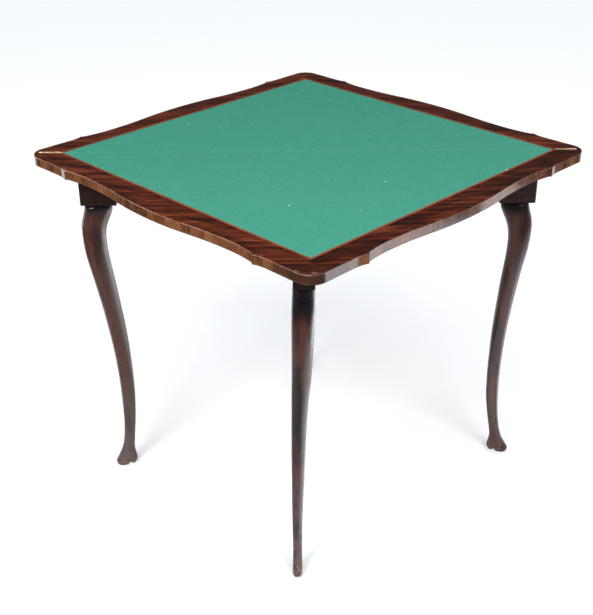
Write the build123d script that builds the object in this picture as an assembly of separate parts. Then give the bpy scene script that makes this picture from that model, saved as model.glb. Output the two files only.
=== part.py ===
from build123d import *
import math
import os

# Folding card table on four cabriole legs. The square top is folded along its diagonal: the back leaf is
# fixed on a triangular frame, the front leaf is hinged on the diagonal and rests on a swinging gate leg.
# Millimetres. The origin is on the floor under the middle of the fold. X runs along the fold, Y runs from
# the front corner to the back corner, Z is up. The table is drawn open, as it is used.

os.makedirs("parts", exist_ok=True)

# Overall sizes
table_height = 765.0
leaf_thickness = 20.5
cloth_half_diagonal = 490.0
fold_half_gap = 0.25
cut_overrun = 5.0
wood_clearance = 0.1

# Layers of the leaves
veneer_thickness = 1.2
border_thickness = 3.0
border_round = 1.8
cloth_thickness = 0.9
stringing_width = 5.5
edge_band_thickness = 2.0

# Shaped edge of the top: how far it stands out from the cloth, and where, measured along a side from the
# corner of the cloth
border_at_middle = 58.5
border_at_hollow = 44.3
border_at_notch = 49.5
border_at_cusp = 54.0
border_at_shoulder = 48.8
border_at_corner = 50.0
hollow_from_corner = 144.0
notch_from_corner = 87.5
cusp_from_corner = 82.0
shoulder_from_corner = 54.0
corner_radius = 32.0

# Frame under the back leaf
frame_depth = 96.5
frame_face_setback = 2.0
frame_inset = 45.3
rail_thickness = 20.0
post_nose = 34.0
post_width = 75.0
post_corner_round = 5.0
back_post_nose = 20.0
back_post_depth = 85.0
back_post_half_width = 40.0

# Gate: the swinging arm that carries the fourth leg
gate_pivot_offset = -10.0
gate_close_gap = 3.0
gate_block_thickness = 40.0
gate_block_length = 64.0
gate_block_round = 4.0
gate_recess_clearance = 1.0
gate_arm_thickness = 22.0
gate_arm_drop = 1.5
gate_rest_gap = 0.3
gate_knuckle_relief = 2.0
gate_knuckle_gap = 0.4
gate_pin_radius = 4.0
gate_pin_clearance = 0.08
gate_pin_short = 2.0
gate_tenon_thickness = 8.0
gate_tenon_length = 14.0
gate_tenon_shoulder = 12.0
hinge_block_length = 130.0
gate_finger_count = 5

# Legs
leg_radial_width = 62.0
leg_side_width = 43.0
leg_bow = 19.0
leg_inset = 37.2
fixed_leg_shift = -2.0
corner_round_share = 0.36
tenon_radius = 11.0
tenon_length = 45.0
sole_notch_radius = 5.0
sole_notch_place = 1.5
leg_bisector_angle = 22.5
left_foot_lean = (12.5, -22.0)
right_foot_lean = (14.0, 22.0)
gate_foot_lean = (-17.0, -18.0)
back_foot_lean = (0.0, 0.0)

# Rows of the leg from the floor up, as shares: height of the leg, shift of the middle as a share of the
# bow, radial width and side width
leg_row_shares = [
    (0.000, 0.10, 0.57, 0.35),
    (0.006, 0.16, 0.70, 0.40),
    (0.015, 0.18, 0.78, 0.43),
    (0.031, 0.08, 0.71, 0.44),
    (0.046, -0.05, 0.59, 0.43),
    (0.061, -0.16, 0.49, 0.42),
    (0.077, -0.26, 0.435, 0.41),
    (0.092, -0.37, 0.40, 0.41),
    (0.123, -0.55, 0.378, 0.42),
    (0.154, -0.70, 0.382, 0.43),
    (0.230, -0.93, 0.425, 0.48),
    (0.307, -1.00, 0.465, 0.525),
    (0.384, -0.94, 0.495, 0.575),
    (0.461, -0.80, 0.530, 0.615),
    (0.538, -0.56, 0.572, 0.668),
    (0.614, -0.25, 0.605, 0.750),
    (0.691, 0.11, 0.645, 0.845),
    (0.768, 0.52, 0.685, 0.915),
    (0.829, 0.80, 0.720, 0.960),
    (0.875, 0.87, 0.748, 0.995),
    (0.906, 0.79, 0.798, 1.000),
    (0.945, 0.42, 0.905, 1.000),
    (0.968, 0.12, 0.945, 0.990),
    (0.982, 0.02, 0.945, 0.970),
    (0.992, 0.00, 0.915, 0.920),
    (1.000, 0.00, 0.860, 0.830),
]

# Brass hinges at both ends of the fold
leaf_hinge_lift = 0.3
leaf_hinge_margin = 5.0
leaf_hinge_length = 43.0
leaf_hinge_radius = 1.8
leaf_hinge_relief = 0.3
leaf_hinge_pin_radius = 0.8
leaf_hinge_pin_clearance = 0.05
leaf_hinge_plate_thickness = 1.5
leaf_hinge_foot = 3.5
leaf_hinge_finger_gap = 0.3
leaf_hinge_finger_count = 5
hinge_screw_radius = 1.3
hinge_screw_head_radius = 2.6
hinge_screw_head_depth = 1.2
hinge_screw_length = 14.0
hinge_screw_foot = 6.5
hinge_screw_spacing = 14.0
hinge_screw_count = 3

# Glue blocks, screws and dowels of the frame
glue_block_size = 22.0
glue_block_length = 60.0
frame_screw_radius = 2.0
frame_screw_head_radius = 4.0
frame_screw_head_depth = 2.4
leaf_screw_bite = 12.0
post_screw_length = 42.0
post_screw_inset = 9.0
gate_screw_length = 45.0
gate_screw_margin = 28.0
screw_row_margin = 22.0
dowel_radius = 4.0
dowel_length = 36.0
glue_rail_share = 0.5
glue_centre_share = 0.08
glue_side_shares = (0.55, 0.725)

# Values worked out from the sizes above
leaf_bottom = table_height - leaf_thickness
veneer_bottom = table_height - veneer_thickness
border_bottom = table_height - border_thickness
cloth_top = veneer_bottom + cloth_thickness
string_reach = cloth_half_diagonal + stringing_width * math.sqrt(2)
frame_bottom = leaf_bottom - frame_depth
cloth_half_side = cloth_half_diagonal / math.sqrt(2)
corner_distance = cloth_half_side + border_at_corner - corner_radius
top_tip = corner_distance * math.sqrt(2) + corner_radius
cutter_reach = 2 * top_tip
frame_reach = top_tip - frame_inset
post_end_distance = frame_reach - post_nose
post_inner_distance = post_end_distance - post_width
leg_top_distance = post_end_distance - leg_inset
recess_back = frame_face_setback + gate_block_thickness + gate_recess_clearance
rail_slant = rail_thickness * math.sqrt(2)
inner_reach = frame_reach - rail_slant
gate_pivot_depth = frame_face_setback + gate_block_thickness / 2
gate_reach = post_inner_distance - gate_close_gap - gate_pivot_offset
gate_leg_distance = gate_reach - leg_inset
gate_knuckle_setback = gate_arm_thickness / 2 + gate_knuckle_relief
right_leg_place = (fixed_leg_shift + leg_top_distance, gate_pivot_depth)
left_leg_place = (fixed_leg_shift - leg_top_distance, gate_pivot_depth)
back_leg_place = (0, leg_top_distance)
gate_leg_place = (gate_pivot_offset, gate_pivot_depth - gate_leg_distance)
gate_pivot = Pos(gate_pivot_offset, gate_pivot_depth, 0)
gate_turn = Rot(0, 0, -90)
leaf_hinge_height = table_height + leaf_hinge_lift
leaf_hinge_start = cloth_half_diagonal + leaf_hinge_margin
leaf_hinge_plate_height = leaf_thickness - leaf_hinge_foot
hinge_screw_drop = leaf_hinge_plate_height - hinge_screw_foot
leaf_screw_length = glue_block_size + leaf_screw_bite


def save(shape, node):
    """Write one node. Several solids in one node stay separate solids."""
    shape.label = node
    export_step(shape, f"parts/{node}.step")


def prism(points, bottom, top):
    """An upright solid over an outline of straight lines."""
    face = make_face(Polyline(*points, close=True))
    return Pos(0, 0, bottom) * extrude(face, amount=top - bottom)


def block(low, high):
    """A box from its lowest to its highest corner."""
    size = [high[axis] - low[axis] for axis in range(len(low))]
    return Pos(*low) * Box(*size, align=(Align.MIN, Align.MIN, Align.MIN))


def rod(start, direction, radius, length):
    """A round bar from a point along a direction."""
    place = Plane(origin=start, z_dir=direction)
    return place * Cylinder(radius, length, align=(Align.CENTER, Align.CENTER, Align.MIN))


def screw(start, direction, shank_radius, head_radius, head_depth, length):
    """A countersunk screw whose flat head lies at the start point."""
    place = Plane(origin=start, z_dir=direction)
    head = Cone(head_radius, shank_radius, head_depth, align=(Align.CENTER, Align.CENTER, Align.MIN))
    return place * head + rod(start, direction, shank_radius, length)


def mirrored(shape):
    """The same shape on the other side of the middle plane."""
    return mirror(shape, about=Plane.YZ)


# Outline of the top

def side_edges(normal_angle, inset):
    """The shaped edge along one side of the square top, moved inwards by the inset."""
    normal = Vector(1, 0).rotate(Axis.Z, normal_angle)
    along = Vector(0, 1).rotate(Axis.Z, normal_angle)

    def place(distance, border):
        return normal * (cloth_half_side + border - inset) + along * distance

    middle = place(0, border_at_middle)
    edges = []
    for side in (-1, 1):
        corner = place(side * corner_distance, border_at_corner)
        shoulder = place(side * (cloth_half_side - shoulder_from_corner), border_at_shoulder)
        cusp = place(side * (cloth_half_side - cusp_from_corner), border_at_cusp)
        notch = place(side * (cloth_half_side - notch_from_corner), border_at_notch)
        hollow_distance = cloth_half_side - hollow_from_corner
        hollow = place(side * hollow_distance, border_at_hollow)
        swing = place(side * hollow_distance / 2, (border_at_hollow + border_at_middle) / 2)
        hollow_arc = TangentArc(hollow, notch, tangent=along * side)
        edges.append(Line(corner, shoulder))
        edges.append(TangentArc(shoulder, cusp, tangent=along * -side))
        edges.append(TangentArc(notch, cusp, tangent=hollow_arc % 1))
        edges.append(hollow_arc)
        edges.append(TangentArc(hollow, swing, tangent=along * -side))
        edges.append(TangentArc(middle, swing, tangent=along * side))
    return edges


def corner_edge(diagonal_angle, inset):
    """The rounded corner between two sides."""
    diagonal = Vector(1, 0).rotate(Axis.Z, diagonal_angle)
    centre = diagonal * corner_distance * math.sqrt(2)
    radius = corner_radius - inset
    turn = 45
    first = centre + diagonal.rotate(Axis.Z, -turn) * radius
    last = centre + diagonal.rotate(Axis.Z, turn) * radius
    return ThreePointArc(first, centre + diagonal * radius, last)


def top_blank(inset, bottom, top):
    """The whole shaped top between two heights."""
    edges = []
    for quarter in range(4):
        diagonal_angle = 90 * quarter
        edges += side_edges(diagonal_angle + 45, inset)
        edges.append(corner_edge(diagonal_angle, inset))
    return Pos(0, 0, bottom) * extrude(make_face(edges), amount=top - bottom)


def diamond(half_diagonal, bottom, top):
    """A square solid with its corners on the axes."""
    points = [(half_diagonal, 0), (0, half_diagonal), (-half_diagonal, 0), (0, -half_diagonal)]
    return prism(points, bottom, top)


def half_space(front):
    """Everything on one side of the fold, short of it by the gap."""
    ceiling = table_height + cut_overrun
    if front:
        return block((-cutter_reach, -cutter_reach, 0), (cutter_reach, -fold_half_gap, ceiling))
    return block((-cutter_reach, fold_half_gap, 0), (cutter_reach, cutter_reach, ceiling))


def quarter_space(front, side):
    """One side's half of one leaf, cut at the mitre of the corner."""
    low_x = 0 if side > 0 else -cutter_reach
    ceiling = table_height + cut_overrun
    return half_space(front) & block((low_x, -cutter_reach, 0), (low_x + cutter_reach, cutter_reach, ceiling))


# Brass leaf hinges

def hinge_fingers(moving):
    """Places of one plate's knuckles along the hinge, as pairs of start and length."""
    pitch = leaf_hinge_length / leaf_hinge_finger_count
    first = 1 if moving else 0
    for finger in range(first, leaf_hinge_finger_count, 2):
        yield leaf_hinge_start + finger * pitch + leaf_hinge_finger_gap / 2, pitch - leaf_hinge_finger_gap


def hinge_screw_places():
    """Places of the screws along one hinge plate."""
    middle = leaf_hinge_start + leaf_hinge_length / 2
    for index in range(hinge_screw_count):
        yield middle + (index - (hinge_screw_count - 1) / 2) * hinge_screw_spacing


def hinge_screws(front, side, growth):
    """The countersunk screws of one plate, or with growth the holes for them."""
    inward = -1 if front else 1
    screws = []
    for place in hinge_screw_places():
        start = (side * place, inward * fold_half_gap, table_height - hinge_screw_drop)
        screws.append(screw(start, (0, inward, 0), hinge_screw_radius + growth,
                            hinge_screw_head_radius + growth, hinge_screw_head_depth,
                            hinge_screw_length + growth))
    return screws


def hinge_plate(front, side):
    """One brass plate, let into the fold face, with its knuckles round the pin."""
    inward = -1 if front else 1
    notch_top = leaf_hinge_height - leaf_hinge_radius - leaf_hinge_relief
    outer = leaf_hinge_start + leaf_hinge_length
    depths = sorted((inward * fold_half_gap, inward * (fold_half_gap + leaf_hinge_plate_thickness)))
    plate = block((leaf_hinge_start, depths[0], table_height - leaf_hinge_plate_height),
                  (outer, depths[1], notch_top))
    for start, length in hinge_fingers(front):
        knuckle = rod((start, 0, leaf_hinge_height), (1, 0, 0), leaf_hinge_radius, length)
        web = block((start, depths[0], notch_top), (start + length, depths[1], leaf_hinge_height))
        plate += knuckle + web
    bore_radius = leaf_hinge_pin_radius + leaf_hinge_pin_clearance
    plate -= rod((leaf_hinge_start - cut_overrun, 0, leaf_hinge_height), (1, 0, 0), bore_radius,
                 leaf_hinge_length + 2 * cut_overrun)
    for hole in hinge_screws(front, 1, wood_clearance):
        plate -= hole
    return plate if side > 0 else mirrored(plate)


def hinge_pocket(front, side):
    """Wood that is cut away in a leaf for one hinge."""
    inward = -1 if front else 1
    outer = leaf_hinge_start + leaf_hinge_length
    depths = sorted((0, inward * (fold_half_gap + leaf_hinge_plate_thickness)))
    pocket = block((leaf_hinge_start, depths[0], table_height - leaf_hinge_plate_height),
                   (outer, depths[1], table_height + cut_overrun))
    relief = rod((leaf_hinge_start - leaf_hinge_relief, 0, leaf_hinge_height), (1, 0, 0),
                 leaf_hinge_radius + leaf_hinge_relief, leaf_hinge_length + 2 * leaf_hinge_relief)
    pocket += relief
    for hole in hinge_screws(front, 1, wood_clearance):
        pocket += hole
    return pocket if side > 0 else mirrored(pocket)


# Leaves

def leaf_pieces(front):
    """All the layers of one leaf, by node name."""
    name = "front" if front else "back"
    core_bottom = leaf_bottom + veneer_thickness if front else leaf_bottom
    core = top_blank(edge_band_thickness, core_bottom, border_bottom)
    band = top_blank(0, core_bottom, border_bottom) - core
    core += diamond(string_reach, border_bottom, veneer_bottom)
    border = top_blank(0, border_bottom, table_height)
    border = fillet(border.faces().sort_by(Axis.Z)[-1].edges(), border_round)
    border -= diamond(string_reach, border_bottom, table_height)
    string = diamond(string_reach, veneer_bottom, table_height)
    string -= diamond(cloth_half_diagonal, veneer_bottom, table_height)
    cloth = diamond(cloth_half_diagonal, veneer_bottom, cloth_top)

    pockets = [hinge_pocket(front, 1), hinge_pocket(front, -1)]
    pieces = {f"{name}_leaf_core": core & half_space(front), f"{name}_cloth": cloth & half_space(front)}
    for side, side_name in ((-1, "left"), (1, "right")):
        quarter = quarter_space(front, side)
        pieces[f"{name}_border_{side_name}"] = border & quarter
        pieces[f"{name}_stringing_{side_name}"] = string & quarter
        pieces[f"{name}_edge_band_{side_name}"] = band & quarter
    if front:
        pieces["front_show_veneer"] = top_blank(0, leaf_bottom, core_bottom) & half_space(front)
    else:
        for x, y, turn in glue_block_places():
            pieces["back_leaf_core"] -= leaf_screw(x, y, wood_clearance)
    for node, piece in pieces.items():
        if "cloth" in node:
            continue
        for pocket in pockets:
            piece -= pocket
        pieces[node] = piece
    return pieces


# Frame under the back leaf

def leg_socket(place):
    """The bore in a post's underside that takes the tenon of a leg."""
    return rod((place[0], place[1], frame_bottom - cut_overrun), (0, 0, 1), tenon_radius + wood_clearance,
               tenon_length + cut_overrun + wood_clearance)


def rail_middle(depth):
    """A point on the middle line of the right side rail at a distance behind the fold."""
    return frame_reach - rail_slant / 2 - depth, depth


def rail_dowels(growth):
    """Dowels at both ends of the right side rail, two above one another."""
    dowels = []
    back_joint_depth = frame_reach - rail_slant / 2 - back_post_half_width
    half = dowel_length / 2 + growth
    run = (-1 / math.sqrt(2), 1 / math.sqrt(2), 0)
    for depth in (recess_back, back_joint_depth):
        x, y = rail_middle(depth)
        for height in (frame_bottom + screw_row_margin, leaf_bottom - screw_row_margin):
            start = (x - run[0] * half, y - run[1] * half, height)
            dowels.append(rod(start, run, dowel_radius + growth, 2 * half))
    return dowels


def post_screws(growth):
    """Screws through the long rail into the right post, two above one another."""
    start_depth = recess_back + rail_thickness
    screws = []
    for height in (frame_bottom + screw_row_margin, leaf_bottom - screw_row_margin):
        screws.append(screw((post_inner_distance + post_screw_inset, start_depth, height), (0, -1, 0),
                            frame_screw_radius + growth, frame_screw_head_radius + growth,
                            frame_screw_head_depth, post_screw_length + growth))
    return screws


def corner_post(leg_distance):
    """The block over the right leg, with its outer front edge rounded."""
    slant_depth = frame_reach - post_end_distance
    points = [(post_inner_distance, frame_face_setback), (post_end_distance, frame_face_setback),
              (post_end_distance, slant_depth), (frame_reach - recess_back, recess_back),
              (post_inner_distance, recess_back)]
    post = prism(points, frame_bottom, leaf_bottom)
    uprights = post.edges().filter_by(Axis.Z)
    front_edge = uprights.sort_by_distance((post_end_distance, frame_face_setback, frame_bottom))[0]
    post = fillet(front_edge, post_corner_round)
    post -= leg_socket((leg_distance, gate_pivot_depth))
    for hole in rail_dowels(wood_clearance) + post_screws(wood_clearance):
        post -= hole
    return post


def back_post():
    """The block over the back leg, shaped to the corner of the frame."""
    flank = frame_reach - back_post_half_width
    end = frame_reach - back_post_nose
    inner = end - back_post_depth
    points = [(-back_post_half_width, inner), (back_post_half_width, inner), (back_post_half_width, flank),
              (back_post_nose, end), (-back_post_nose, end), (-back_post_half_width, flank)]
    post = prism(points, frame_bottom, leaf_bottom)
    post -= leg_socket(back_leg_place)
    for hole in rail_dowels(wood_clearance):
        post -= hole
        post -= mirrored(hole)
    return post


def side_rail():
    """The right side rail, from the corner post to the back post."""
    points = [(inner_reach - recess_back, recess_back), (frame_reach - recess_back, recess_back),
              (back_post_half_width, frame_reach - back_post_half_width),
              (back_post_half_width, inner_reach - back_post_half_width)]
    rail = prism(points, frame_bottom, leaf_bottom)
    for hole in rail_dowels(wood_clearance):
        rail -= hole
    return rail


def long_rail():
    """The rail behind the gate, set back between the side rails."""
    back = recess_back + rail_thickness
    points = [(-(inner_reach - recess_back), recess_back), (inner_reach - recess_back, recess_back),
              (inner_reach - back, back), (-(inner_reach - back), back)]
    rail = prism(points, frame_bottom, leaf_bottom)
    for hole in post_screws(wood_clearance):
        rail -= hole
        rail -= mirrored(hole)
    for hole in gate_block_screws(wood_clearance):
        rail -= hole
    return rail


def glue_block_places():
    """Middle points and turns of the glue blocks inside the rails."""
    long_depth = recess_back + rail_thickness + glue_block_size / 2
    reach = inner_reach - back_post_half_width
    places = [(reach * glue_rail_share, long_depth, 0), (-reach * glue_rail_share, long_depth, 0),
              (reach * glue_centre_share, long_depth, 0)]
    inner_line = inner_reach - glue_block_size * math.sqrt(2) / 2
    for side in (-1, 1):
        for share in glue_side_shares:
            depth = inner_line * share
            places.append((side * (inner_line - depth), depth, -45 * side))
    return places


def glue_blocks():
    """Square blocks glued in the angle between rails and leaf, bored for the leaf screws."""
    solids = []
    for x, y, turn in glue_block_places():
        cube = Pos(x, y, leaf_bottom - glue_block_size / 2) * Rot(0, 0, turn) * Box(
            glue_block_length, glue_block_size, glue_block_size)
        solids.append(cube - leaf_screw(x, y, wood_clearance))
    return solids


def leaf_screw(x, y, growth):
    """A screw from below through a glue block into the back leaf."""
    start = (x, y, leaf_bottom - glue_block_size)
    return screw(start, (0, 0, 1), frame_screw_radius + growth, frame_screw_head_radius + growth,
                 frame_screw_head_depth, leaf_screw_length + growth)


# Gate

def gate_finger_heights(moving):
    """Bottom and top of each wooden knuckle of one half of the gate's hinge."""
    bottom = frame_bottom + gate_arm_drop
    pitch = (frame_depth - 2 * gate_arm_drop) / gate_finger_count
    first = 1 if moving else 0
    for finger in range(first, gate_finger_count, 2):
        low = bottom + finger * pitch + gate_knuckle_gap / 2
        yield low, low + pitch - gate_knuckle_gap


def gate_knuckles(moving):
    """Knuckles of one half, drawn at the pivot and reaching along +X to the gate's shoulder."""
    half = gate_arm_thickness / 2
    solids = None
    for low, high in gate_finger_heights(moving):
        finger = rod((0, 0, low), (0, 0, 1), half, high - low)
        finger += block((0, -half, low), (gate_knuckle_setback, half, high))
        solids = finger if solids is None else solids + finger
    return solids


def gate_pin_bore():
    """The bore through all the knuckles."""
    return rod((0, 0, frame_bottom - cut_overrun), (0, 0, 1), gate_pin_radius + gate_pin_clearance,
               frame_depth + 2 * cut_overrun)


def gate_block_screws(growth):
    """Screws through the fixed hinge block into the long rail."""
    screws = []
    start_depth = gate_pivot_depth - gate_arm_thickness / 2
    for x in (gate_knuckle_setback + gate_screw_margin, hinge_block_length - gate_screw_margin):
        for height in (frame_bottom + screw_row_margin, leaf_bottom - screw_row_margin):
            screws.append(screw((gate_pivot_offset - x, start_depth, height), (0, 1, 0),
                                frame_screw_radius + growth, frame_screw_head_radius + growth,
                                frame_screw_head_depth, gate_screw_length + growth))
    return screws


def gate_hinge_block():
    """The fixed half of the wooden hinge, screwed to the long rail."""
    half = gate_arm_thickness / 2
    body = block((gate_knuckle_setback, -(recess_back - gate_pivot_depth), frame_bottom + gate_arm_drop),
                 (hinge_block_length, half, leaf_bottom - gate_arm_drop))
    shape = body + gate_knuckles(False) - gate_pin_bore()
    shape = gate_pivot * Rot(0, 0, 180) * shape
    for hole in gate_block_screws(wood_clearance):
        shape -= hole
    return shape


def gate_arm():
    """The swinging arm, with its knuckles at the pivot and a tenon in the leg block."""
    half = gate_arm_thickness / 2
    shoulder = gate_reach - gate_block_length
    low = frame_bottom + gate_arm_drop
    high = leaf_bottom - gate_arm_drop
    body = block((gate_knuckle_setback, -half, low), (shoulder, half, high))
    tenon_half = gate_tenon_thickness / 2
    tenon = block((shoulder, -tenon_half, low + gate_tenon_shoulder),
                  (shoulder + gate_tenon_length, tenon_half, high - gate_tenon_shoulder))
    return gate_pivot * gate_turn * (body + tenon + gate_knuckles(True) - gate_pin_bore())


def gate_leg_block():
    """The block over the gate leg, on which the front leaf rests."""
    half = gate_block_thickness / 2
    shoulder = gate_reach - gate_block_length
    body = block((shoulder, -half, frame_bottom), (gate_reach, half, leaf_bottom - gate_rest_gap))
    corners = body.edges().filter_by(Axis.Z).group_by(Axis.X)[-1]
    body = fillet(corners, gate_block_round)
    tenon_half = gate_tenon_thickness / 2
    low = frame_bottom + gate_arm_drop + gate_tenon_shoulder
    high = leaf_bottom - gate_arm_drop - gate_tenon_shoulder
    body -= block((shoulder - cut_overrun, -tenon_half, low), (shoulder + gate_tenon_length, tenon_half, high))
    body = gate_pivot * gate_turn * body
    return body - leg_socket(gate_leg_place)


def gate_pin():
    """The iron rod on which the gate turns."""
    return gate_pivot * rod((0, 0, frame_bottom + gate_pin_short), (0, 0, 1), gate_pin_radius,
                            frame_depth - 2 * gate_pin_short)


# Legs

def leg(place, outward_angle, foot_lean):
    """A cabriole leg under a block, bowing outwards along an angle, ending in a small hoof."""
    turned = Vector(foot_lean[0], foot_lean[1]).rotate(Axis.Z, -outward_angle)
    sections = []
    for height_share, shift_share, radial_share, side_share in leg_row_shares:
        radial = leg_radial_width * radial_share
        across = leg_side_width * side_share
        lean_share = 1 - height_share
        x = leg_bow * shift_share + turned.X * lean_share
        y = turned.Y * lean_share
        section = RectangleRounded(radial, across, min(radial, across) * corner_round_share)
        sections.append(Pos(x, y, frame_bottom * height_share) * section)
    body = loft(sections)
    body += rod((0, 0, frame_bottom - tenon_radius), (0, 0, 1), tenon_radius, tenon_length + tenon_radius)
    notch_x = sole_notch_place + turned.X
    notch_y = turned.Y - leg_side_width
    body -= rod((notch_x, notch_y, 0), (0, 1, 0), sole_notch_radius, 2 * leg_side_width)
    return Pos(place[0], place[1], 0) * Rot(0, 0, outward_angle) * body


# Write every node

for front in (False, True):
    for node, piece in leaf_pieces(front).items():
        save(piece, node)
    name = "front" if front else "back"
    for side, side_name in ((-1, "left"), (1, "right")):
        save(hinge_plate(front, side), f"{name}_hinge_plate_{side_name}")
    save(Compound(children=hinge_screws(front, 1, 0) + hinge_screws(front, -1, 0)), f"{name}_hinge_screws")

for side, side_name in ((-1, "left"), (1, "right")):
    pin_start = leaf_hinge_start if side > 0 else -leaf_hinge_start - leaf_hinge_length
    pin = rod((pin_start, 0, leaf_hinge_height), (1, 0, 0), leaf_hinge_pin_radius, leaf_hinge_length)
    save(pin, f"leaf_hinge_pin_{side_name}")

save(corner_post(right_leg_place[0]), "corner_post_right")
save(mirrored(corner_post(-left_leg_place[0])), "corner_post_left")
save(back_post(), "back_post")
save(side_rail(), "side_rail_right")
save(mirrored(side_rail()), "side_rail_left")
save(long_rail(), "long_rail")
save(Compound(children=glue_blocks()), "glue_blocks")
save(Compound(children=[leaf_screw(x, y, 0) for x, y, turn in glue_block_places()]), "leaf_screws")
save(Compound(children=rail_dowels(0) + [mirrored(dowel) for dowel in rail_dowels(0)]), "rail_dowels")
save(Compound(children=post_screws(0) + [mirrored(item) for item in post_screws(0)]), "post_screws")

save(gate_hinge_block(), "gate_hinge_block")
save(Compound(children=gate_block_screws(0)), "gate_block_screws")
save(gate_pin(), "gate_hinge_pin")
save(gate_arm(), "gate_arm")
save(gate_leg_block(), "gate_leg_block")

save(leg(right_leg_place, -leg_bisector_angle, right_foot_lean), "leg_right")
save(leg(left_leg_place, 180 + leg_bisector_angle, left_foot_lean), "leg_left")
save(leg(back_leg_place, 90, back_foot_lean), "leg_back")
save(leg(gate_leg_place, -90, gate_foot_lean), "gate_leg")
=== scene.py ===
# %% [markdown]
# # A folding card table
#
# The real object is a square card table on four cabriole legs. Its top folds along the diagonal, so that
# it closes to a triangle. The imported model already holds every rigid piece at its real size, in metres: X
# runs along the fold, Y from the front corner to the back corner, Z is up, and the floor is at zero. This
# lesson gives those pieces their finishes, and makes the pieces that carving and cloth need.

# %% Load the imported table
import math

import bmesh
import bpy
from mathutils import Matrix, Vector, noise


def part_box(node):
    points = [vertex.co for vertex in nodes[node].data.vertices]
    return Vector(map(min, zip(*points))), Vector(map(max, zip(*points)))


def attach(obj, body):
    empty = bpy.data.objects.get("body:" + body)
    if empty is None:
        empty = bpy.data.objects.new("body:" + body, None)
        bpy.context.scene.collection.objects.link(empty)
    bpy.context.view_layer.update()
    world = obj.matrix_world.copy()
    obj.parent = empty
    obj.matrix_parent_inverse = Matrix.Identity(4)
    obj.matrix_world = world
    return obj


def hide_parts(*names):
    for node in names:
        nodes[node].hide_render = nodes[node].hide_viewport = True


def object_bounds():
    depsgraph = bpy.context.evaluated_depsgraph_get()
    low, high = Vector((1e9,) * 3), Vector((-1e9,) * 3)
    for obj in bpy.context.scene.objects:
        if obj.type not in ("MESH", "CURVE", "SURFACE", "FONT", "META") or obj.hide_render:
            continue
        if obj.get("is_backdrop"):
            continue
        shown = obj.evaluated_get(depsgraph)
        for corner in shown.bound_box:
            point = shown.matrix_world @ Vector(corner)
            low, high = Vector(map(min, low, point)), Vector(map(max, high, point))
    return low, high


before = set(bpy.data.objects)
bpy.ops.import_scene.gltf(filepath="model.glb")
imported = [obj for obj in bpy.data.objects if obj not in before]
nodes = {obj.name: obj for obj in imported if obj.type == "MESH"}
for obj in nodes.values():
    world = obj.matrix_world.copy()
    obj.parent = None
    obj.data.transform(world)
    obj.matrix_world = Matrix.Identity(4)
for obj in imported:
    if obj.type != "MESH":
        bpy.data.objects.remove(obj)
cad_low, cad_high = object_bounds()
mm = 0.001
print("nodes:", len(nodes), "size in metres:", [round(side, 3) for side in cad_high - cad_low])

# %% [markdown]
# ## Camera
#
# A photograph of a flat square fixes the camera: its four corners give the distance, the tilt and the
# focal length. The picture is 593 by 615 pixels, so the long side is the height, and the lens follows
# from the focal length in pixels. The camera is at eye height in front of the corner and looks down.

# %% Camera
picture_size = (593, 615)
focal_pixels = 1091.5
camera_place = Vector((-0.0186, -2.0686, 1.5314))
camera_down = math.radians(28.492)
camera_turn = math.radians(0.173)
camera_roll = math.radians(-0.444)

camera_data = bpy.data.cameras.new("camera")
camera_data.lens = focal_pixels / max(picture_size) * camera_data.sensor_width
camera = bpy.data.objects.new("camera", camera_data)
turn = Matrix.Rotation(camera_turn, 3, "Z")
tilt = Matrix.Rotation(math.pi / 2 - camera_down, 3, "X")
roll = Matrix.Rotation(camera_roll, 3, "Z")
camera.matrix_world = Matrix.Translation(camera_place) @ (turn @ tilt @ roll).to_4x4()
bpy.context.scene.collection.objects.link(camera)
bpy.context.scene.camera = camera
bpy.context.scene.view_settings.view_transform = "Standard"
print("lens in millimetres:", round(camera_data.lens, 2))

# %% [markdown]
# ## Node helpers
#
# Every finish here is a small node tree. It could be wired node by node, but that takes many lines that
# say little. A helper that makes a node, sets its values and links its inputs keeps each tree short
# enough to read. Values that are the same all over a surface are set on the shader itself, and only what
# varies over the surface comes from nodes. A coat's roughness gets both, because viewers of the finished
# model read only the plain value.

# %% Helpers that make nodes
def new_finish(name, **constants):
    """A material with a Principled shader. The words are the shader's sockets, with _ for a space."""
    material = bpy.data.materials.new(name)
    material.use_nodes = True
    shader = material.node_tree.nodes["Principled BSDF"]
    for word, value in constants.items():
        shader.inputs[word.replace("_", " ")].default_value = value
    return material, material.node_tree, shader


def put(tree, kind, inputs, **settings):
    """A new node with its settings. An input is a number, or another node's socket to be linked."""
    node = tree.nodes.new("ShaderNode" + kind)
    for word, value in settings.items():
        setattr(node, word, value)
    for place, value in inputs.items():
        if isinstance(value, bpy.types.NodeSocket):
            tree.links.new(value, node.inputs[place])
        else:
            node.inputs[place].default_value = value
    return node


def feed(tree, shader, **varying):
    """Links what varies over the surface to the shader's sockets."""
    for word, value in varying.items():
        tree.links.new(value, shader.inputs[word.replace("_", " ")])


finishes = {}
print("node helpers are ready")

# %% Helpers for numbers and colours
def calc(tree, operation, first, second=0.0, third=0.0):
    """One step of arithmetic on numbers that vary over the surface."""
    return put(tree, "Math", {0: first, 1: second, 2: third}, operation=operation).outputs[0]


def times(tree, first, second):
    """The product of two numbers, such as two masks that must both hold."""
    return calc(tree, "MULTIPLY", first, second)


def weighted(tree, *parts):
    """The sum of numbers, each times its weight."""
    total = 0.0
    for value, weight in reversed(parts):
        total = calc(tree, "MULTIPLY_ADD", value, weight, total)
    return total


def rise(tree, value, start, end, low=0.0, high=1.0):
    """Goes smoothly from low to high while the value goes from start to end."""
    sockets = {"Value": value, "From Min": start, "From Max": end, "To Min": low, "To Max": high}
    return put(tree, "MapRange", sockets, interpolation_type="SMOOTHSTEP").outputs["Result"]


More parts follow.
